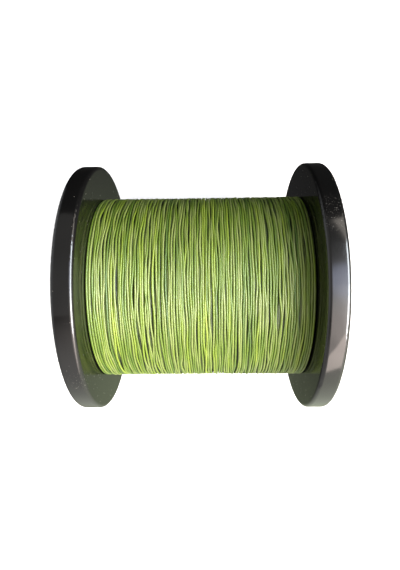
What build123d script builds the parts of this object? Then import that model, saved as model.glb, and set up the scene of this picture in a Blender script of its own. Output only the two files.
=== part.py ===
from build123d import *
import os

# Fishing line spool: two moulded flanges on a barrel full of braided line, with a bore for a
# winding spindle. The spool's axis is +X and its centre is the origin. Millimetres.

# Driving dimensions
flange_diameter = 100.0
overall_width = 95.0
rim_width = 7.5
edge_radius = 1.3
barrel_diameter = 50.0
winding_diameter = 74.0
bore_diameter = 16.0

# Flange moulding
web_thickness = 3.0
rim_wall = 4.0
hub_diameter = 27.0
boss_length = 9.0
spigot_length = 8.0
spigot_wall = 2.0
root_radius = 0.9
lip_edge_radius = 0.6
rib_count = 12
rib_thickness = 1.6
rib_inset = 1.0
rib_overlap = 0.8
ejector_pad_count = 6
ejector_pad_diameter = 5.0
ejector_pad_height = 0.25
ejector_circle_diameter = 72.0

# Tubes
barrel_wall = 2.2
arbor_wall = 2.0
bore_chamfer = 0.5

# Line and tape
winding_end_gap = 0.15
winding_edge_radius = 0.6
tape_thickness = 0.15
tape_clearance = 0.05
start_tape_width = 18.0
start_tape_arc = 70.0
start_tape_offset = 26.0
end_tape_width = 12.0
end_tape_arc = 42.0
end_tape_middle = -26.0
end_tape_offset = 17.0

# Worked out from the values above
flange_radius = flange_diameter / 2
outer_face = overall_width / 2
inner_face = outer_face - rim_width
web_face = inner_face + web_thickness
lip_radius = flange_radius - rim_wall
hub_radius = hub_diameter / 2
bore_radius = bore_diameter / 2
arbor_radius = bore_radius + arbor_wall
barrel_radius = barrel_diameter / 2
barrel_inner_radius = barrel_radius - barrel_wall
spigot_inner_radius = barrel_inner_radius - spigot_wall
winding_radius = winding_diameter / 2
winding_inner_radius = barrel_radius + tape_thickness + tape_clearance
winding_half_width = inner_face - winding_end_gap
rib_pitch = 360.0 / rib_count


def ring(inner_radius, outer_radius, start, end):
    """A plain tube about the spool's axis, from one place along it to another."""
    wall = outer_radius - inner_radius
    with BuildPart() as tube:
        with BuildSketch(Plane.XZ):
            with Locations(((start + end) / 2, inner_radius + wall / 2)):
                Rectangle(end - start, wall)
        revolve(axis=Axis.X)
    return tube.part


def turned(outline, radii):
    """A closed outline of (place along the axis, radius) points, revolved about the axis."""
    with BuildPart() as body:
        with BuildSketch(Plane.XZ):
            with BuildLine():
                FilletPolyline(*outline, radius=radii, close=True)
            make_face()
        revolve(axis=Axis.X)
    return body.part


def around(piece, angle):
    """The piece turned about the spool's axis."""
    return Rot(angle, 0, 0) * piece


def rod_along_axis(radius, length, circle_radius, start):
    """A round bar parallel to the spool's axis, at the top of a circle about it."""
    bar = extrude(Plane.YZ * Circle(radius), length)
    return Pos(start, 0, circle_radius) * bar


def flange_disc():
    """Web, rim lip, hub, inner boss and barrel spigot of the right-hand flange."""
    corners = [
        ((outer_face, arbor_radius), 0),
        ((outer_face, hub_radius), lip_edge_radius),
        ((web_face, hub_radius), root_radius),
        ((web_face, lip_radius), root_radius),
        ((outer_face, lip_radius), lip_edge_radius),
        ((outer_face, flange_radius), edge_radius),
        ((inner_face, flange_radius), edge_radius),
        ((inner_face, barrel_inner_radius), 0),
        ((inner_face - spigot_length, barrel_inner_radius), lip_edge_radius),
        ((inner_face - spigot_length, spigot_inner_radius), lip_edge_radius),
        ((inner_face, spigot_inner_radius), 0),
        ((inner_face, hub_radius), 0),
        ((inner_face - boss_length, hub_radius), lip_edge_radius),
        ((inner_face - boss_length, arbor_radius), 0),
    ]
    outline = [point for point, _ in corners]
    radii = [radius for _, radius in corners]
    return turned(outline, radii)


def stiffening_rib():
    """One radial rib in the recess of the outer face, from the hub to the rim lip."""
    low = hub_radius - rib_overlap
    high = lip_radius + rib_overlap
    root = web_face - rib_overlap
    crest = outer_face - rib_inset
    bar = Box(crest - root, rib_thickness, high - low)
    return Pos((crest + root) / 2, 0, (high + low) / 2) * bar


def make_flange():
    """The right-hand flange: a disc with stiffening ribs and ejector marks on its outer side."""
    flange = flange_disc()
    for index in range(rib_count):
        flange += around(stiffening_rib(), index * rib_pitch)

    pad = rod_along_axis(
        ejector_pad_diameter / 2,
        web_thickness / 2 + ejector_pad_height,
        ejector_circle_diameter / 2,
        web_face - web_thickness / 2,
    )
    for index in range(ejector_pad_count):
        flange += around(pad, index * 360.0 / ejector_pad_count - rib_pitch / 2)
    return flange


def make_barrel():
    """The drum tube that the line is wound on, between the two inner faces."""
    return ring(barrel_inner_radius, barrel_radius, -inner_face, inner_face)


def make_arbor_tube():
    """The tube through both hubs that runs on the spindle, with chamfered mouths."""
    half = outer_face
    corners = [
        (-half, arbor_radius),
        (half, arbor_radius),
        (half, bore_radius + bore_chamfer),
        (half - bore_chamfer, bore_radius),
        (-half + bore_chamfer, bore_radius),
        (-half, bore_radius + bore_chamfer),
    ]
    return turned(corners, [0] * len(corners))


def make_winding():
    """The whole wound line as one closed body, with its outer edges slightly rounded."""
    corners = [
        (-winding_half_width, winding_inner_radius),
        (winding_half_width, winding_inner_radius),
        (winding_half_width, winding_radius),
        (-winding_half_width, winding_radius),
    ]
    return turned(corners, [0, 0, winding_edge_radius, winding_edge_radius])


def tape_strip(radius, width, arc, middle, offset):
    """A strip of tape bent round a circle about the axis; middle is its angle from +Y to +Z."""
    with BuildPart() as strip:
        with BuildSketch(Plane.XY):
            with Locations((offset, radius + tape_thickness / 2)):
                Rectangle(width, tape_thickness)
        revolve(axis=Axis.X, revolution_arc=arc)
    return around(strip.part, middle - arc / 2)


def make_start_tape():
    """Holds the first turn of line down on the barrel."""
    return tape_strip(barrel_radius, start_tape_width, start_tape_arc, 0.0, -start_tape_offset)


def make_end_tape():
    """Holds the outer end of the line down on the winding."""
    return tape_strip(winding_radius, end_tape_width, end_tape_arc, end_tape_middle, end_tape_offset)


def build_all():
    """Every separate piece of the spool, by name."""
    right_flange = make_flange()
    return {
        "left_flange": mirror(right_flange, about=Plane.YZ),
        "right_flange": right_flange,
        "barrel": make_barrel(),
        "arbor_tube": make_arbor_tube(),
        "line_winding": make_winding(),
        "line_start_tape": make_start_tape(),
        "line_end_tape": make_end_tape(),
    }


os.makedirs("parts", exist_ok=True)
for name, piece in build_all().items():
    export_step(piece, f"parts/{name}.step")
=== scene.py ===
import math

import bpy
import numpy as np
from mathutils import Euler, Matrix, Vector


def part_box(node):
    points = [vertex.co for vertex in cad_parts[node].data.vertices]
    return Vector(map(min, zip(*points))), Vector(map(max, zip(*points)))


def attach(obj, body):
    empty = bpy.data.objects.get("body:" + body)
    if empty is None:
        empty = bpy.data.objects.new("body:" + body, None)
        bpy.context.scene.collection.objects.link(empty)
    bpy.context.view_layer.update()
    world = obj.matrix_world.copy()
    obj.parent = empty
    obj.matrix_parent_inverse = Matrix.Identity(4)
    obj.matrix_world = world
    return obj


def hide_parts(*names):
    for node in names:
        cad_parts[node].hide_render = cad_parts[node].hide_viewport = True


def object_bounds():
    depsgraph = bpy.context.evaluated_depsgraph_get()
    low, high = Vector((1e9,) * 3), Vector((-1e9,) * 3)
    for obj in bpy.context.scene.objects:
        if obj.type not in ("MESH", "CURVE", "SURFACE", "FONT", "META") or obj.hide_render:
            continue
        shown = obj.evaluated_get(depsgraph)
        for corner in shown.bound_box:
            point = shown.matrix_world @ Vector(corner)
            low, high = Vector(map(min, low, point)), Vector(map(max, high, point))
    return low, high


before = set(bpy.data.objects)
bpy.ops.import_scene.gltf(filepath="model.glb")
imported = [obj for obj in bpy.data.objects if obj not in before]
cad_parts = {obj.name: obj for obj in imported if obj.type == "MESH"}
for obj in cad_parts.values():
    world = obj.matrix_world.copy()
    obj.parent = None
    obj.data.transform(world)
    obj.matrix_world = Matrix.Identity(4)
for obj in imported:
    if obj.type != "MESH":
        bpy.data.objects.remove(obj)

# Fishing line spool: materials for the moulded flanges, the wound braided line turn by turn,
# the tape that holds its end, and a plain studio. Metres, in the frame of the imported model.
# The spool's axis is X; an angle about it runs from +Y towards +Z.

MM = 0.001
cad_low, cad_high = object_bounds()

# Places read from the frame
WINDING_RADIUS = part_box("line_winding")[1].z
WINDING_HALF_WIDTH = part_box("line_winding")[1].x
FLANGE_RADIUS = cad_high.z
OUTER_FACE = cad_high.x
INNER_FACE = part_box("barrel")[1].x
TAPE_LOW, TAPE_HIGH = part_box("line_end_tape")

# The rims: a slight crown, and the places where handling has scuffed them (middle, radius)
RIM_MIDDLE = (INNER_FACE + OUTER_FACE) / 2
RIM_HALF_WIDTH = (OUTER_FACE - INNER_FACE) / 2
RIM_CROWN = 4.0
SCUFFED = (((43.5 * MM, 23.0 * MM, 44.0 * MM), 9.0 * MM),
           ((-40.8 * MM, -33.0 * MM, 37.0 * MM), 7.0 * MM))

# The two grades of moulded plastic: how pale, how rough at its glossiest, how round its edges
FLANGE_FINISH = (0.0045, 0.07, 0.35 * MM)
CORE_FINISH = (0.02, 0.38, 0.25 * MM)

# The wound line: its size, how its turns lie, and how finely they are drawn
LINE_DIAMETER = 0.765 * MM
LAYER_COUNT = 3
TURN_PITCH = 0.83 * MM
END_CLEARANCE = 0.04 * MM
OVERFILL = 0.2 * MM
END_STRAIGHT = 2.5 * MM
SAMPLES_PER_TURN = 240
SIDES = 8
SETTLE_STEPS = 4
GRID_STEP = 0.06 * MM
WANDER = 0.50 * MM
WANDER_MIX = ((0.95, 4), (0.55, 12), (0.3, 40))
SECTION_WIDTH = 1.00
SECTION_HEIGHT = 0.94
RIDE_OVER = 0.22 * LINE_DIAMETER
PRESSED_FLAT = 0.75
NESTING = 0.12 * LINE_DIAMETER
SLIDE = 0.045 * MM
STEEPEST = 1.2
PULL_BACK = 0.05
BRIDGED = 1.0 * MM
TINT_OF_TURN = 0.17
TINT_ALONG = ((0.12, 24), (0.14, 4))
TIP_STEPS = ((0.10 * MM, 0.95), (0.22 * MM, 0.75), (0.30 * MM, 0.30))
PIECES_PER_LAYER = 3
STRIP_GAP = 0.04
BED_CLEARANCE = 0.3 * MM
BED_STEPS = 180
SEED = 11

# The line's outer end: it crosses the underside of the winding to the tape, and ends beyond it
TAPE_MIDDLE = (TAPE_LOW.x + TAPE_HIGH.x) / 2
TAPE_START = 2 * math.pi + math.asin(TAPE_LOW.z / TAPE_HIGH.yz.length)
TAPE_END = 2 * math.pi + math.asin(TAPE_HIGH.z / WINDING_RADIUS)
TAPE_THICKNESS = 0.15 * MM
TAPE_TOOTH = 1.1 * MM
TAPE_ROWS, TAPE_COLUMNS = 96, 56
TOOTH_ROWS = 8
TAPE_GAP = 0.03 * MM
TAPE_CREASE = 0.035 * MM
TAPE_LIFT = 0.9 * MM
LIFTED_CORNER = (4.5 * MM, 5.0 * MM)
CROSSED_BY = TAPE_START - 0.15
LINE_END = TAPE_END + 0.07

# The camera: its distance, its small turns in degrees, and its small shift aside
CAMERA_DISTANCE = 3.69 * FLANGE_RADIUS
CAMERA_LENS = 27.2
CAMERA_YAW = 1.5
CAMERA_ROLL = -0.6
CAMERA_ASIDE = Vector((-1.1 * MM, 0.4 * MM, 0.0))

# The room's light as seen from the spool. Each glow lists the cosine of the angle from its
# direction, and the light's colour there. A glow's first two stops are its ends.
WINDOW_RADIANCE = 17.0
WINDOW = (0.66, -0.335, 0.672)
WINDOW_GLOW = ((-1.0, (0.002,) * 3), (1.0, (1.0,) * 3),
               (-0.2, (0.004,) * 3), (0.05, (0.008,) * 3), (0.40, (0.018,) * 3),
               (0.60, (0.033,) * 3), (0.80, (0.11,) * 3), (0.90, (0.18,) * 3),
               (0.945, (0.25,) * 3), (0.975, (0.95,) * 3))
SKYLIGHT = (0.36, 0.06, 0.93)
SKYLIGHT_GLOW = ((0.955, (0.0,) * 3), (0.99, (0.065, 0.075, 0.115)))
OVERHEAD = (-0.40, 0.10, 0.91)
OVERHEAD_SHADE = ((0.70, (1.0,) * 3), (0.95, (0.35,) * 3))
BACK_FILL = (-0.98, 0.08, 0.08)
BACK_GLOW = ((0.50, (0.0,) * 3), (1.0, (0.042, 0.043, 0.044)))
FRONT_FILL = (0.04, -0.94, -0.09)
FRONT_GLOW = ((0.30, (0.0,) * 3), (0.95, (0.038, 0.038, 0.037)))
TABLE_FILL = (0.50, -0.65, -0.57)
TABLE_GLOW = ((0.34, (0.0,) * 3), (0.95, (0.020, 0.024, 0.014)))
TINT_TOWARDS = (0.0, -1.0, 0.0)
ROOM_TINT = ((-0.80, (0.42, 0.42, 0.41)), (0.75, (1.12, 0.98, 0.90)),
             (-0.10, (1.0, 0.99, 0.98)))
FLOOR_LIGHT = 2.5
FLOOR_LIGHT_SPREAD = math.radians(40)
FLOOR_SIZE = 6.0

# Long panes beside the window and a pale wall, seen only as reflections. Each has its
# direction, width, two ends along Y, brightness and colour.
PANE_DISTANCE = 0.7
TO_PANES = (0.657, 0.0, 0.754)
TO_WALL = (-0.38, 0.0, 0.925)
PANES = ((TO_PANES, 0.34, -0.52, 0.42, 15.0, (0.88, 0.95, 1.0)),
         (TO_PANES, 0.34, -3.00, -0.54, 3.4, (1.0, 0.84, 0.76)),
         (TO_PANES, 0.34, 0.44, 0.95, 2.2, (1.0, 0.92, 0.82)),
         (TO_WALL, 0.62, -0.28, 1.30, 0.25, (1.0, 0.98, 0.94)))


# ---------------------------------------------------------------- node helpers

class Shader:
    """One node material. node() adds a node, sets its options and fills its inputs."""

    def __init__(self, name):
        self.material = bpy.data.materials.new(name)
        self.material.use_nodes = True
        self.tree = self.material.node_tree
        self.skin = self.tree.nodes["Principled BSDF"]

    def fill(self, target, inputs):
        """Links each socket in inputs, and sets each plain value."""
        for key, value in inputs.items():
            socket = target.inputs[key]
            if isinstance(value, bpy.types.NodeSocket):
                self.tree.links.new(value, socket)
            else:
                socket.default_value = value

    def node(self, kind, inputs=None, output=0, **options):
        made = self.tree.nodes.new("ShaderNode" + kind)
        for name, value in options.items():
            setattr(made, name, value)
        self.fill(made, inputs or {})
        return made.outputs[output]

    def math(self, operation, first, second=0.0, clamp=False):
        return self.node("Math", {0: first, 1: second}, operation=operation, use_clamp=clamp)

    def span(self, value, low, high, to_low=0.0, to_high=1.0):
        """Maps low..high to to_low..to_high, and holds the ends."""
        return self.node("MapRange", {"Value": value, "From Min": low, "From Max": high,
                                      "To Min": to_low, "To Max": to_high})

    def blend(self, share, first, second):
        """Mixes two colours: only the first at a share of 0, only the second at 1."""
        made = self.tree.nodes.new("ShaderNodeMix")
        made.data_type = "RGBA"
        self.fill(made, {"Factor": share})
        places = [index for index, socket in enumerate(made.inputs) if socket.type == "RGBA"]
        self.fill(made, dict(zip(places, (first, second))))
        return next(socket for socket in made.outputs if socket.type == "RGBA")

    def finish(self, **inputs):
        """Fills the surface's own sockets and returns the material."""
        names = {key.replace("_", " "): value for key, value in inputs.items()}
        self.fill(self.skin, names)
        return self.material


def paint(red, green, blue):
    return (red, green, blue, 1.0)


# ---------------------------------------------------------------- materials

def moulded_plastic(name, shade, gloss, bevel):
    """Black injection-moulded styrene: faint flow marks, handling scratches, dust in specks."""
    s = Shader(name)
    place = s.node("TexCoord", output="Object")
    cloud = s.node("TexNoise", {"Vector": place, "Scale": 55.0, "Detail": 3.0, "Roughness": 0.6})
    grain = s.node("TexNoise", {"Vector": place, "Scale": 2600.0, "Detail": 2.0})

    # Hairline scratches in two directions, where the surface has been rubbed
    stretched = s.node("Mapping", {"Vector": place, "Rotation": (0.5, 0.3, 0.2),
                                   "Scale": (900, 60, 4000)})
    streak = s.node("TexNoise", {"Vector": stretched, "Scale": 1.0, "Detail": 2.0,
                                 "Roughness": 0.7})
    crossed = s.node("Mapping", {"Vector": place, "Rotation": (0.9, -0.4, 1.2),
                                 "Scale": (80, 3600, 700)})
    hair = s.node("TexNoise", {"Vector": crossed, "Scale": 1.0, "Detail": 2.0,
                               "Roughness": 0.7})
    scratch = s.math("MAXIMUM", s.span(streak, 0.70, 0.76), s.span(hair, 0.71, 0.77))
    rubbed = s.span(cloud, 0.40, 0.62)
    scratched = s.math("MULTIPLY", scratch, rubbed)

    # Dust in a few cells out of a hundred
    cells = s.tree.nodes.new("ShaderNodeTexVoronoi")
    s.fill(cells, {"Vector": place, "Scale": 800.0})
    chosen = s.node("SeparateColor", {"Color": cells.outputs["Color"]})
    near = s.span(cells.outputs["Distance"], 0.15, 0.06)
    dusty = s.math("MULTIPLY", near, s.math("GREATER_THAN", chosen, 0.965))

    # Ragged scuffs round the knocked places on the rims
    fleck = s.node("TexNoise", {"Vector": place, "Scale": 1500.0, "Detail": 3.0,
                                "Roughness": 0.7})
    scuffs = 0.0
    for spot, reach in SCUFFED:
        away = s.node("VectorMath", {0: place, 1: spot}, output="Value", operation="DISTANCE")
        ragged = s.math("ADD", away, s.math("MULTIPLY", cloud, 0.8 * reach))
        zone = s.span(ragged, 1.35 * reach, 0.7 * reach)
        flecked = s.math("MULTIPLY", zone, s.span(fleck, 0.60, 0.68))
        scuffs = s.math("MAXIMUM", scuffs, flecked)

    dark = paint(shade * 0.75, shade * 0.76, shade * 0.8)
    pale = paint(shade * 1.5, shade * 1.48, shade * 1.45)
    base = s.blend(cloud, dark, pale)
    base = s.blend(s.math("MULTIPLY", scratched, 0.25), base, paint(0.10, 0.10, 0.10))
    base = s.blend(s.math("MULTIPLY", dusty, 0.7), base, paint(0.42, 0.40, 0.34))
    base = s.blend(s.math("MULTIPLY", scuffs, 0.45), base, paint(0.34, 0.33, 0.29))

    # The inner faces are a little duller than the rims
    across = s.tree.nodes.new("ShaderNodeSeparateXYZ")
    s.fill(across, {"Vector": place})
    inward = s.math("ABSOLUTE", across.outputs["X"])
    worn = s.span(inward, INNER_FACE + 0.35 * MM, INNER_FACE + 0.05 * MM, to_high=0.04)
    rough = s.math("ADD", worn, s.span(cloud, 0.35, 0.70, gloss, gloss + 0.10))
    rough = s.math("ADD", rough, s.math("MULTIPLY", scratched, 0.16))
    rough = s.math("ADD", rough, s.math("MULTIPLY", scuffs, 0.4))
    rough = s.math("ADD", rough, s.math("MULTIPLY", dusty, 0.5), clamp=True)

    # Height: waves and mottling from the mould, the rims' crown, scratches and dust
    wave = s.node("TexNoise", {"Vector": place, "Scale": 28.0, "Detail": 1.0})
    height = s.math("ADD", s.math("MULTIPLY", cloud, 0.8), s.math("MULTIPLY", grain, 0.02))
    height = s.math("ADD", height, s.math("MULTIPLY", wave, 4.0))
    aside = s.math("DIVIDE", s.math("SUBTRACT", inward, RIM_MIDDLE), RIM_HALF_WIDTH)
    crown = s.math("MULTIPLY", s.math("MULTIPLY", aside, aside), RIM_CROWN)
    height = s.math("SUBTRACT", height, crown)
    height = s.math("SUBTRACT", height, s.math("MULTIPLY", scratched, 0.10))
    height = s.math("ADD", height, s.math("MULTIPLY", dusty, 0.6))
    rounded = s.node("Bevel", {"Radius": bevel}, samples=6)
    bump = s.node("Bump", {"Height": height, "Strength": 0.35, "Distance": 0.06 * MM,
                           "Normal": rounded})
    return s.finish(Base_Color=base, Roughness=rough, Normal=bump, Specular_IOR_Level=0.8)


def braided_line():
    """Polyethylene braid: diamond picks, fibres, dye that varies along its length, painted shade
    in the weave's grooves, and painted shade that grows darker the deeper a turn lies. "line"
    holds metres along and the share of a turn around; "tint" and "depth" come with the mesh."""
    s = Shader("braided_line")
    along_around = s.node("UVMap", uv_map="line")
    parts = s.tree.nodes.new("ShaderNodeSeparateXYZ")
    s.fill(parts, {"Vector": along_around})
    along = parts.outputs["X"]
    around = parts.outputs["Y"]
    tint = s.node("Attribute", {}, output="Fac", attribute_name="tint")
    depth = s.node("Attribute", {}, output="Fac", attribute_name="depth")

    turn = 2 * math.pi
    pick = s.math("MULTIPLY", along, turn / (1.5 * MM))
    lap = s.math("MULTIPLY", around, turn * 2.0)
    right = s.math("SINE", s.math("ADD", pick, lap))
    left = s.math("SINE", s.math("SUBTRACT", pick, lap))
    weave = s.math("MAXIMUM", s.math("ABSOLUTE", right), s.math("ABSOLUTE", left))
    laid = s.node("CombineXYZ", {"X": s.math("MULTIPLY", along, 900.0),
                                 "Y": s.math("MULTIPLY", around, 14.0)})
    fibre = s.node("TexNoise", {"Vector": laid, "Scale": 1.0, "Detail": 2.0})
    slow = s.math("MULTIPLY", along, 26.0)
    drift = s.node("TexNoise", {"W": slow, "Scale": 1.0, "Detail": 2.0}, noise_dimensions="1D")

    dye = s.math("ADD", s.math("MULTIPLY", tint, 0.62), s.math("MULTIPLY", drift, 0.38))
    ramp = s.tree.nodes.new("ShaderNodeValToRGB")
    s.fill(ramp, {"Fac": dye})
    stops = ramp.color_ramp.elements
    stops[0].position, stops[0].color = 0.20, paint(0.066, 0.145, 0.005)
    stops[1].position, stops[1].color = 0.80, paint(0.350, 0.465, 0.050)
    for position, colour in ((0.42, paint(0.160, 0.262, 0.013)),
                             (0.54, paint(0.272, 0.352, 0.085)),
                             (0.64, paint(0.225, 0.340, 0.018))):
        stop = stops.new(position)
        stop.color = colour
    base = ramp.outputs["Color"]
    # Painted shade: the colour is darkened in the grooves between the braid's picks
    groove = s.math("MULTIPLY", s.span(weave, 0.85, 0.45), 0.35)
    base = s.blend(groove, base, paint(0.09, 0.15, 0.01))
    # Painted shade: the deeper a vertex lies under the winding's outer surface, the nearer black it
    # is painted
    base = s.blend(s.span(depth, 0.62, 1.25), base, paint(0.010, 0.022, 0.006))

    rough = s.span(fibre, 0.3, 0.7, 0.38, 0.52)
    height = s.math("ADD", weave, s.math("MULTIPLY", fibre, 0.35))
    bump = s.node("Bump", {"Height": height, "Strength": 0.7, "Distance": 0.07 * MM})
    return s.finish(Base_Color=base, Roughness=rough, Normal=bump, Specular_IOR_Level=0.8)


def masking_tape(name):
    """Crepe paper tape: fine cross ridges, slight yellowing and fibre mottling."""
    s = Shader(name)
    place = s.node("TexCoord", output="Object")
    crepe_space = s.node("Mapping", {"Vector": place, "Scale": (500, 2600, 2600)})
    crepe = s.node("TexNoise", {"Vector": crepe_space, "Scale": 1.0, "Detail": 3.0})
    mottle = s.node("TexNoise", {"Vector": place, "Scale": 350.0, "Detail": 4.0})
    base = s.blend(mottle, paint(0.66, 0.56, 0.36), paint(0.80, 0.72, 0.52))
    rough = s.span(crepe, 0.3, 0.7, 0.55, 0.8)
    bump = s.node("Bump", {"Height": crepe, "Strength": 0.5, "Distance": 0.08 * MM})
    return s.finish(Base_Color=base, Roughness=rough, Normal=bump)


def packed_line_painted_shade():
    """The inner layers between the outer turns: fine rings of green braid, painted near black as
    the shade between the turns.
    """
    s = Shader("packed_line_painted_shade")
    place = s.node("TexCoord", output="Object")
    rings = s.node("Mapping", {"Vector": place, "Scale": (1300.0, 120.0, 120.0)})
    strands = s.node("TexNoise", {"Vector": rings, "Scale": 1.0, "Detail": 3.0, "Roughness": 0.6})
    # Painted shade: the braid's green is darkened to near black here
    base = s.blend(strands, paint(0.012, 0.024, 0.005), paint(0.07, 0.10, 0.02))
    rough = s.span(strands, 0.3, 0.7, 0.85, 0.65)
    bump = s.node("Bump", {"Height": strands, "Strength": 0.8, "Distance": 0.2 * MM})
    return s.finish(Base_Color=base, Roughness=rough, Normal=bump, Specular_IOR_Level=0.2)


def white_floor():
    """Matt white paper sweep with a barely visible tooth."""
    s = Shader("floor_paper")
    place = s.node("TexCoord", output="Object")
    tooth = s.node("TexNoise", {"Vector": place, "Scale": 900.0, "Detail": 3.0})
    base = s.blend(tooth, paint(0.80, 0.80, 0.80), paint(0.84, 0.84, 0.84))
    bump = s.node("Bump", {"Height": tooth, "Strength": 0.15, "Distance": 0.05 * MM})
    return s.finish(Base_Color=base, Roughness=0.9, Normal=bump)


def dress_cad_nodes():
    """Gives a material to every CAD node that stays in sight."""
    flange = moulded_plastic("flange_plastic", *FLANGE_FINISH)
    core = moulded_plastic("core_plastic", *CORE_FINISH)
    tape = masking_tape("start_tape")
    for name, material in (("left_flange", flange), ("right_flange", flange), ("barrel", core),
                           ("arbor_tube", core), ("line_start_tape", tape)):
        for material_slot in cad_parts[name].material_slots:
            material_slot.material = material


# ---------------------------------------------------------------- the wound line

def smooth_noise(rng, count, reach):
    """Random values, about 1 at their largest, that change slowly over reach samples."""
    raw = rng.standard_normal(count + 6 * reach)
    window = np.hanning(4 * reach + 1)
    soft = np.convolve(raw, window / window.sum(), mode="same")[3 * reach:3 * reach + count]
    return soft / (soft.std() * 2.0)


def taut(radius, angles):
    """The radius of a tight loop round obstacles of the given radius at each angle."""
    points = np.stack([radius * np.cos(angles), radius * np.sin(angles)], axis=1)
    count = len(points)
    hull = []
    for index in [*range(count), 0]:
        while len(hull) > 1:
            a, b = points[hull[-2]], points[hull[-1]]
            c = points[index]
            if (b[0] - a[0]) * (c[1] - a[1]) - (b[1] - a[1]) * (c[0] - a[0]) > 0:
                break
            hull.pop()
        hull.append(index)
    result = radius.copy()
    for first, last in zip(hull[:-1], hull[1:]):
        stop = last if last > first else last + count
        a, b = points[first], points[last]
        edge = b - a
        for index in range(first + 1, stop):
            index %= count
            ray = (math.cos(angles[index]), math.sin(angles[index]))
            reach = (a[0] * edge[1] - a[1] * edge[0]) / (ray[0] * edge[1] - ray[1] * edge[0])
            result[index] = max(result[index], reach)
    return result


def blurred(grid):
    """Each value averaged with its neighbours."""
    padded = np.pad(grid, 1, mode="edge")
    rows, columns = grid.shape
    parts = [padded[i:i + rows, j:j + columns] for i in range(3) for j in range(3)]
    return np.mean(parts, axis=0)


def eased(values, low, high):
    """0 up to low, 1 from high on, smooth between them."""
    share = np.clip((values - low) / (high - low), 0.0, 1.0)
    return share * share * (3.0 - 2.0 * share)


def pressed(radii, layer_radius):
    """Where a turn rides over its neighbours, the tension presses most of the bump flat."""
    bump = np.maximum(radii - layer_radius - RIDE_OVER, 0.0)
    return radii - PRESSED_FLAT * bump


class Bobbin:
    """The surface that each new turn lands on: for every angle and every place along the axis,
    the least radius at which the middle of another turn can lie."""

    def __init__(self, bed_radius):
        self.reach = INNER_FACE - END_CLEARANCE - SECTION_WIDTH * LINE_DIAMETER / 2
        self.places = np.arange(-self.reach, self.reach + GRID_STEP, GRID_STEP)
        self.angles = np.linspace(0.0, 2 * math.pi, SAMPLES_PER_TURN, endpoint=False)
        bed = bed_radius + LINE_DIAMETER / 2 + np.zeros_like(self.places)
        self.floor = np.tile(bed, (SAMPLES_PER_TURN, 1))
        self.rows = np.arange(SAMPLES_PER_TURN)

    def height(self, places):
        """Height under each angle's place, and its slope along the axis."""
        position = np.clip((places + self.reach) / GRID_STEP, 0, len(self.places) - 1.001)
        left = position.astype(int)
        share = position - left
        low = self.floor[self.rows, left]
        high = self.floor[self.rows, left + 1]
        wide = 3
        before = self.floor[self.rows, np.clip(left - wide, 0, len(self.places) - 1)]
        after = self.floor[self.rows, np.clip(left + 1 + wide, 0, len(self.places) - 1)]
        slope = (after - before) / (GRID_STEP * (2 * wide + 1))
        return low * (1 - share) + high * share, slope

    def settle(self, guide, start):
        """Slides a turn from its guide into the grooves below, bending it only gently."""
        places = guide.copy()
        places += (start - places[0]) * np.exp(-self.rows / 12.0)
        for _ in range(SETTLE_STEPS):
            slope = self.height(places)[1]
            places = places - SLIDE * np.clip(slope, -STEEPEST, STEEPEST)
            places += PULL_BACK * (guide - places)
            padded = np.concatenate([[start] * 6, places, [places[-1]] * 6])
            window = np.hanning(9)[1:-1]
            soft = np.convolve(padded, window / window.sum(), mode="same")[6:-6]
            places = soft + (start - soft[0]) * np.exp(-self.rows / 4.0)
            places = np.clip(places, -self.reach, self.reach)
        return places

    def lay(self, places, radii):
        """Raises the surface round a turn that has been laid."""
        middle = np.round((places + self.reach) / GRID_STEP).astype(int)
        span = int(LINE_DIAMETER / GRID_STEP) + 1
        for offset in range(-span, span + 1):
            column = middle + offset
            inside = (column >= 0) & (column < len(self.places))
            gap = self.places[np.clip(column, 0, len(self.places) - 1)] - places
            lift = np.sqrt(np.maximum(LINE_DIAMETER ** 2 - gap ** 2, 0.0))
            top = np.where((lift > 0) & inside, radii + lift, 0.0)
            column = np.clip(column, 0, len(self.places) - 1)
            self.floor[self.rows, column] = np.maximum(self.floor[self.rows, column], top)

    def envelope(self):
        """The winding's outer surface with the gaps between turns bridged over."""
        crest = self.floor - LINE_DIAMETER / 2
        wide = int(BRIDGED / GRID_STEP)
        padded = np.pad(crest, ((0, 0), (wide, wide)), mode="edge")
        count = len(self.places)
        crest = np.max([padded[:, i:i + count] for i in range(2 * wide + 1)], axis=0)
        padded = np.pad(crest, ((0, 0), (wide, wide)), mode="edge")
        return np.mean([padded[:, i:i + count] for i in range(2 * wide + 1)], axis=0)


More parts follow.
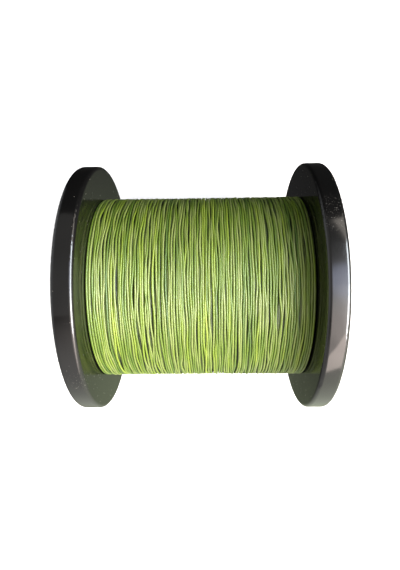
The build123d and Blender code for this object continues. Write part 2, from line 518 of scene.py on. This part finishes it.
def wind(bobbin, rng):
    """Lays the line layer by layer, to and fro. Returns each layer's turns as (places, radii)."""
    layers = []
    width = 2 * bobbin.reach
    turns = int(width / TURN_PITCH)
    pitch = width / turns
    for layer in range(LAYER_COUNT):
        layer_radius = np.median(bobbin.floor.min(axis=1)) + NESTING * (layer > 0)
        direction = 1 if layer % 2 == 0 else -1
        count = turns * SAMPLES_PER_TURN
        travel = np.arange(count) / SAMPLES_PER_TURN * pitch
        travel = -bobbin.reach + travel if direction > 0 else bobbin.reach - travel
        wander = sum(share * smooth_noise(rng, count, reach) for share, reach in WANDER_MIX)
        free = np.clip((bobbin.reach - np.abs(travel)) / END_STRAIGHT, 0.0, 1.0)
        guide = np.clip(travel + WANDER * free * wander, -bobbin.reach, bobbin.reach)
        laid = []
        start = guide[0]
        last_radius = None
        for turn in range(turns):
            part = guide[turn * SAMPLES_PER_TURN:(turn + 1) * SAMPLES_PER_TURN]
            last = layer == LAYER_COUNT - 1 and turn == turns - 1
            places = bobbin.settle(part, start)
            if last:
                places += (TAPE_MIDDLE - places) * eased(bobbin.angles, math.pi, CROSSED_BY)
            snug = taut(bobbin.height(places)[0], bobbin.angles)
            radii = pressed(snug, layer_radius)
            if last:
                radii += (snug - radii) * eased(bobbin.angles, math.pi, math.pi + 0.3)
            if last_radius is not None:
                radii = radii + (last_radius - radii[0]) * np.exp(-bobbin.rows / 5.0)
            bobbin.lay(places, np.where(bobbin.angles < LINE_END, radii, 0.0) if last else radii)
            laid.append((places, radii))
            start, last_radius = places[-1], radii[-1]
        layers.append(laid)
    return layers


def tube_rings(places, radii, angles, twist, taper=1.0):
    """Cross-section rings of one turn, an oval that rolls slowly as it goes round."""
    along = np.gradient(places)
    arc = np.gradient(angles) * radii
    length = np.hypot(along, arc)
    cosine, sine = np.cos(angles), np.sin(angles)
    outward = np.stack([np.zeros_like(cosine), cosine, sine], axis=1)
    forward = np.stack([along / length, -sine * arc / length, cosine * arc / length], axis=1)
    sideways = np.cross(forward, outward)
    middle = np.stack([places, radii * cosine, radii * sine], axis=1)
    rings = []
    for side in range(SIDES):
        angle = 2 * math.pi * side / SIDES
        flat = SECTION_WIDTH * math.cos(angle) * sideways
        tall = SECTION_HEIGHT * math.sin(angle) * outward
        rolled = 1.0 + 0.05 * np.cos(2 * (angle + twist))[:, None]
        rings.append(middle + LINE_DIAMETER / 2 * rolled * taper * (flat + tall))
    return np.stack(rings, axis=1)


def sunk(rings, bobbin, envelope):
    """How far each vertex lies under the winding's outer surface, in line diameters."""
    rows = np.arange(len(rings)) % SAMPLES_PER_TURN
    columns = np.round((rings[:, :, 0] + bobbin.reach) / GRID_STEP).astype(int)
    columns = np.clip(columns, 0, len(bobbin.places) - 1)
    radius = np.hypot(rings[:, :, 1], rings[:, :, 2])
    return np.clip((envelope[rows[:, None], columns] - radius) / LINE_DIAMETER, 0.0, 2.0)


def turns_mesh(name, turns, first_length, rng, bobbin, envelope, material):
    """One piece of the winding: consecutive turns of the same unbroken line. Returns it and
    the line's length up to its end. Each turn has its own strip of the "OFBake" layer."""
    coordinates, lengths, tints, depths = [], [], [], []
    length = first_length
    for places, radii, angles, tint, taper in turns:
        step = np.hypot(np.diff(places), radii[:-1] * np.diff(angles))
        run = length + np.concatenate([[0.0], np.cumsum(step)])
        twist = smooth_noise(rng, len(places), 20) * 3.0
        coordinates.append(tube_rings(places, radii, angles, twist, taper))
        depths.append(sunk(coordinates[-1], bobbin, envelope).ravel())
        lengths.append(run)
        tints.append(tint)
        length = run[-1]

    mesh = bpy.data.meshes.new(name)
    vertices = np.concatenate([block.reshape(-1, 3) for block in coordinates])
    faces, line_uv, bake_uv = [], [], []
    offset = 0
    total = len(turns)
    for index, (block, run) in enumerate(zip(coordinates, lengths)):
        count = len(run)
        ring = np.arange(count - 1)[:, None]
        side = np.arange(SIDES)[None, :]
        following = (side + 1) % SIDES
        a = offset + ring * SIDES + side
        b = offset + ring * SIDES + following
        c = offset + (ring + 1) * SIDES + following
        d = offset + (ring + 1) * SIDES + side
        faces.append(np.stack([a, d, c, b], axis=2).reshape(-1, 4))
        low_u = np.broadcast_to(run[:-1, None], (count - 1, SIDES))
        high_u = np.broadcast_to(run[1:, None], (count - 1, SIDES))
        low_v = np.broadcast_to(side / SIDES, (count - 1, SIDES))
        high_v = np.broadcast_to((side + 1) / SIDES, (count - 1, SIDES))
        corner_u = np.stack([low_u, high_u, high_u, low_u], axis=2)
        corner_v = np.stack([low_v, low_v, high_v, high_v], axis=2)
        line_uv.append(np.stack([corner_u, corner_v], axis=3).reshape(-1, 2))
        share = (corner_u - run[0]) / (run[-1] - run[0])
        strip = (index + STRIP_GAP + (1.0 - 2 * STRIP_GAP) * corner_v) / total
        bake_uv.append(np.stack([share, strip], axis=3).reshape(-1, 2))
        offset += count * SIDES
    cap = np.array([(side, side + 1, SIDES - 2 - side, SIDES - 1 - side)
                    for side in range(SIDES // 2 - 1)])
    last_ring = offset // SIDES - 1
    for ring, order, run, index in ((0, 1, lengths[0][0], 0), (last_ring, -1, length, total - 1)):
        faces.append(ring * SIDES + cap[:, ::order])
        around = cap[:, ::order].reshape(-1, 1) / SIDES
        line_uv.append(np.hstack([np.full_like(around, run), around]))
        bake_uv.append(np.hstack([np.full_like(around, float(ring > 0)), (index + around) / total]))
    faces = np.concatenate(faces)
    mesh.vertices.add(len(vertices))
    mesh.vertices.foreach_set("co", vertices.astype(np.float32).ravel())
    mesh.loops.add(faces.size)
    mesh.loops.foreach_set("vertex_index", faces.astype(np.int32).ravel())
    mesh.polygons.add(len(faces))
    mesh.polygons.foreach_set("loop_start", np.arange(0, faces.size, 4, dtype=np.int32))
    mesh.update(calc_edges=True)
    mesh.polygons.foreach_set("use_smooth", np.ones(len(faces), bool))
    for layer_name, values in (("line", line_uv), ("OFBake", bake_uv)):
        layer = mesh.uv_layers.new(name=layer_name)
        layer.data.foreach_set("uv", np.concatenate(values).astype(np.float32).ravel())
    shade = mesh.attributes.new("tint", "FLOAT", "POINT")
    shade.data.foreach_set("value", np.repeat(np.concatenate(tints), SIDES).astype(np.float32))
    below = mesh.attributes.new("depth", "FLOAT", "POINT")
    below.data.foreach_set("value", np.concatenate(depths).astype(np.float32))
    mesh.validate()
    mesh.materials.append(material)
    piece = bpy.data.objects.new(name, mesh)
    bpy.context.scene.collection.objects.link(piece)
    return piece, length


def make_winding():
    """The outer layers of line, turn by turn. Returns the bobbin they were wound on and the
    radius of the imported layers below."""
    rng = np.random.default_rng(SEED)
    rise = math.sqrt(LINE_DIAMETER ** 2 - (TURN_PITCH / 2) ** 2)
    bed_radius = WINDING_RADIUS + OVERFILL - LINE_DIAMETER - (LAYER_COUNT - 1) * rise
    bobbin = Bobbin(bed_radius)
    layers = wind(bobbin, rng)
    envelope = bobbin.envelope()
    material = braided_line()
    length = 0.0
    for layer, laid in enumerate(layers):
        share = math.ceil(len(laid) / PIECES_PER_LAYER)
        for part in range(PIECES_PER_LAYER):
            turns = []
            chosen = range(part * share, min((part + 1) * share, len(laid)))
            for index in chosen:
                places, radii = laid[index]
                following = laid[index + 1] if index + 1 < len(laid) else None
                next_places, next_radii = following or (places[-1:], radii[-1:])
                places = np.concatenate([places, next_places[:1]])
                radii = np.concatenate([radii, next_radii[:1]])
                angles = np.append(bobbin.angles, 2 * math.pi)
                taper = np.ones((len(angles), 1))
                if layer == LAYER_COUNT - 1 and index == len(laid) - 1:
                    kept = angles < LINE_END
                    beyond, thinner = np.array(TIP_STEPS).T
                    angles = np.append(angles[kept], angles[kept][-1] + beyond / WINDING_RADIUS)
                    places = np.append(places[kept], [places[kept][-1]] * len(beyond))
                    radii = np.append(radii[kept], [radii[kept][-1]] * len(beyond))
                    taper = np.concatenate([taper[kept], thinner[:, None]])
                tint = 0.5 + TINT_OF_TURN * rng.standard_normal()
                for share_of_tint, reach in TINT_ALONG:
                    tint = tint + share_of_tint * smooth_noise(rng, len(places), reach)
                turns.append((places, radii, angles, np.clip(tint, 0.0, 1.0), taper))
            name = f"line_layer_{layer + 1}_part_{part + 1}"
            piece, length = turns_mesh(name, turns, length, rng, bobbin, envelope, material)
            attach(piece, "root")
            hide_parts("line_winding")
    return bobbin, bed_radius


def lathe(name, outline, steps, material):
    """A closed outline of (place along the axis, radius) points turned about the axis."""
    mesh = bpy.data.meshes.new(name)
    vertices, faces = [], []
    count = len(outline)
    for step in range(steps):
        angle = 2 * math.pi * step / steps
        for place, radius in outline:
            vertices.append((place, radius * math.cos(angle), radius * math.sin(angle)))
    for step in range(steps):
        following = (step + 1) % steps
        for index in range(count):
            after = (index + 1) % count
            faces.append((step * count + index, following * count + index,
                          following * count + after, step * count + after))
    mesh.from_pydata(vertices, [], faces)
    mesh.validate()
    mesh.materials.append(material)
    piece = bpy.data.objects.new(name, mesh)
    bpy.context.scene.collection.objects.link(piece)
    return piece


def make_end_tape(bobbin, rng):
    """Crepe tape pressed down over the line's end: it follows the turns, bridges the gaps,
    creases a little and lifts at one corner."""
    rows, columns = TAPE_ROWS, TAPE_COLUMNS
    angles = np.linspace(TAPE_START, TAPE_END, rows)
    across = np.linspace(TAPE_LOW.x, TAPE_HIGH.x, columns)
    saw = np.abs((across - across[0]) / TAPE_TOOTH % 1.0 - 0.5) * 2.0
    order = np.arange(rows)
    reach = eased(order, rows - 1 - TOOTH_ROWS, rows - 1) + eased(-order, -TOOTH_ROWS, 0)
    inward = (reach * np.sign(order - rows / 2))[:, None]
    theta = angles[:, None] - inward * saw * TAPE_TOOTH / 2 / WINDING_RADIUS
    row = np.round(theta / (2 * math.pi) * SAMPLES_PER_TURN).astype(int) % SAMPLES_PER_TURN
    column = np.round((across + bobbin.reach) / GRID_STEP).astype(int)[None, :]
    under = bobbin.floor[row, column] - LINE_DIAMETER / 2
    for _ in range(3):
        under = np.maximum(under, blurred(under))
    under = blurred(under) + TAPE_GAP
    coarse = np.array([smooth_noise(rng, columns, 6) for _ in range(rows // 8)])
    steps = np.linspace(0, len(coarse) - 1, rows)
    crease = np.array([np.interp(steps, range(len(coarse)), line) for line in coarse.T]).T
    under += TAPE_CREASE * np.clip(crease, -1.0, 2.0)
    from_side = (TAPE_HIGH.x - across)[None, :] / LIFTED_CORNER[0]
    from_end = (TAPE_END - theta) * WINDING_RADIUS / LIFTED_CORNER[1]
    corner = np.clip(1.0 - np.hypot(from_side, from_end), 0.0, 1.0)
    under += TAPE_LIFT * corner ** 2
    sheets = []
    for radius in (under, under + TAPE_THICKNESS):
        points = np.stack([np.broadcast_to(across, radius.shape), radius * np.cos(theta),
                           radius * np.sin(theta)], axis=2)
        sheets.append(points.reshape(-1, 3))
    count = rows * columns
    index = np.arange(count).reshape(rows, columns)
    a, b, c, d = index[:-1, :-1], index[:-1, 1:], index[1:, 1:], index[1:, :-1]
    inner = np.stack([a, b, c, d], axis=2).reshape(-1, 4)
    outer = np.stack([d, c, b, a], axis=2).reshape(-1, 4) + count
    rim = np.concatenate([index[0], index[1:, -1], index[-1, -2::-1], index[-2:0:-1, 0]])
    following = np.roll(rim, -1)
    sides = np.stack([following, rim, rim + count, following + count], axis=1)
    faces = np.concatenate([inner, outer, sides])
    mesh = bpy.data.meshes.new("line_end_tape_strip")
    mesh.from_pydata(np.concatenate(sheets).tolist(), [], faces.tolist())
    mesh.validate()
    for polygon in mesh.polygons[:len(inner) + len(outer)]:
        polygon.use_smooth = True
    mesh.materials.append(masking_tape("end_tape"))
    piece = bpy.data.objects.new("line_end_tape_strip", mesh)
    bpy.context.scene.collection.objects.link(piece)
    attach(piece, "root")
    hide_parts("line_end_tape")


def make_bed(bed_radius, material):
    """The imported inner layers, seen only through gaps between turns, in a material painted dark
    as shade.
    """
    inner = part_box("barrel")[1].z + BED_CLEARANCE
    ends = WINDING_HALF_WIDTH - 0.25 * LINE_DIAMETER
    groove = 0.125 * LINE_DIAMETER
    count = int(2 * ends / TURN_PITCH)
    outline = [(-ends, inner)]
    for index in range(count + 1):
        place = -ends + 2 * ends * index / count
        outline.append((place, bed_radius - groove * (index % 2)))
    outline.append((ends, inner))
    piece = lathe("line_inner_layers", outline, BED_STEPS, material)
    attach(piece, "root")
    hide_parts("line_winding")


# ---------------------------------------------------------------- studio

def make_camera():
    """Looks straight down on the spool as it lies on its rims, with its axis across the picture."""
    data = bpy.data.cameras.new("camera")
    data.lens = CAMERA_LENS
    data.sensor_width = 36.0
    camera = bpy.data.objects.new("camera", data)
    turn = Euler((0.0, math.radians(CAMERA_YAW), math.radians(CAMERA_ROLL)))
    camera.rotation_euler = turn
    camera.location = turn.to_matrix() @ (Vector((0.0, 0.0, CAMERA_DISTANCE)) + CAMERA_ASIDE)
    bpy.context.scene.collection.objects.link(camera)
    bpy.context.scene.camera = camera


def make_floor():
    """White paper under the rims, with its own lamp so that only contact shadows show on it."""
    bpy.ops.mesh.primitive_plane_add(size=FLOOR_SIZE, location=(0.0, 0.0, cad_low.z))
    floor = bpy.context.object
    floor.name = "floor"
    floor.data.materials.append(white_floor())
    floor.visible_glossy = False
    floor.visible_diffuse = False
    lit = bpy.data.collections.new("lit_from_above")
    lit.objects.link(floor)
    data = bpy.data.lights.new("floor_light", "SUN")
    data.energy = FLOOR_LIGHT
    data.angle = FLOOR_LIGHT_SPREAD
    lamp = bpy.data.objects.new("floor_light", data)
    lamp.light_linking.receiver_collection = lit
    bpy.context.scene.collection.objects.link(lamp)


def make_panes():
    """Tall window panes to the right and a wall to the left that only glossy surfaces pick up."""
    for index, (direction, width, low_end, high_end, radiance, colour) in enumerate(PANES):
        towards = Vector(direction)
        length = high_end - low_end
        data = bpy.data.lights.new(f"pane_{index + 1}", "AREA")
        data.shape = "RECTANGLE"
        data.size, data.size_y = width, length
        data.energy = radiance * math.pi * width * length
        data.color = colour
        lamp = bpy.data.objects.new(f"pane_{index + 1}", data)
        middle = Vector((0.0, (low_end + high_end) / 2, 0.0))
        lamp.location = towards * PANE_DISTANCE + middle
        lamp.rotation_euler = Euler((0.0, math.atan2(towards.x, towards.z), 0.0))
        lamp.visible_camera = False
        lamp.visible_diffuse = False
        bpy.context.scene.collection.objects.link(lamp)


def make_world():
    """A broad soft window to the right, with the dim room round it, and a white backdrop."""
    world = bpy.data.worlds.new("studio")
    world.use_nodes = True
    tree = world.node_tree
    nodes, links = tree.nodes, tree.links
    direction = nodes.new("ShaderNodeTexCoord").outputs["Generated"]

    def towards(place):
        dot = nodes.new("ShaderNodeVectorMath")
        dot.operation = "DOT_PRODUCT"
        dot.inputs[1].default_value = Vector(place).normalized()
        links.new(direction, dot.inputs[0])
        return dot.outputs["Value"]

    def glow(place, stops):
        ramp = nodes.new("ShaderNodeValToRGB")
        ramp.color_ramp.interpolation = "EASE"
        shifted = nodes.new("ShaderNodeMapRange")
        shifted.inputs["From Min"].default_value = -1.0
        links.new(towards(place), shifted.inputs["Value"])
        links.new(shifted.outputs["Result"], ramp.inputs["Fac"])
        elements = ramp.color_ramp.elements
        for index, (cosine, colour) in enumerate(stops):
            position = (cosine + 1.0) / 2.0
            element = elements[index] if index < 2 else elements.new(position)
            element.position, element.color = position, (*colour, 1.0)
        return ramp.outputs["Color"]

    def mixed(kind, first, second):
        mix = nodes.new("ShaderNodeMix")
        mix.data_type = "RGBA"
        mix.blend_type = kind
        mix.inputs["Factor"].default_value = 1.0
        sides = [socket for socket in mix.inputs if socket.type == "RGBA"]
        links.new(first, sides[0])
        links.new(second, sides[1])
        return next(socket for socket in mix.outputs if socket.type == "RGBA")

    dim = mixed("MULTIPLY", glow(WINDOW, WINDOW_GLOW), glow(OVERHEAD, OVERHEAD_SHADE))
    colour = mixed("MULTIPLY", dim, glow(TINT_TOWARDS, ROOM_TINT))
    for place, stops in ((SKYLIGHT, SKYLIGHT_GLOW), (BACK_FILL, BACK_GLOW),
                         (FRONT_FILL, FRONT_GLOW), (TABLE_FILL, TABLE_GLOW)):
        colour = mixed("ADD", colour, glow(place, stops))
    light = nodes["Background"]
    links.new(colour, light.inputs["Color"])
    light.inputs["Strength"].default_value = WINDOW_RADIANCE

    backdrop = nodes.new("ShaderNodeBackground")
    backdrop.inputs["Color"].default_value = (1.0, 1.0, 1.0, 1.0)
    backdrop.inputs["Strength"].default_value = 1.0
    seen = nodes.new("ShaderNodeLightPath")
    choice = nodes.new("ShaderNodeMixShader")
    links.new(seen.outputs["Is Camera Ray"], choice.inputs["Fac"])
    links.new(light.outputs["Background"], choice.inputs[1])
    links.new(backdrop.outputs["Background"], choice.inputs[2])
    links.new(choice.outputs["Shader"], nodes["World Output"].inputs["Surface"])
    bpy.context.scene.world = world


def set_view():
    """Plain colours, with no film look over them."""
    view = bpy.context.scene.view_settings
    view.view_transform = "Standard"
    view.look = "None"


make_camera()
make_floor()
make_panes()
make_world()
set_view()
dress_cad_nodes()
bobbin, bed_radius = make_winding()
make_end_tape(bobbin, np.random.default_rng(SEED + 1))
make_bed(bed_radius, packed_line_painted_shade())
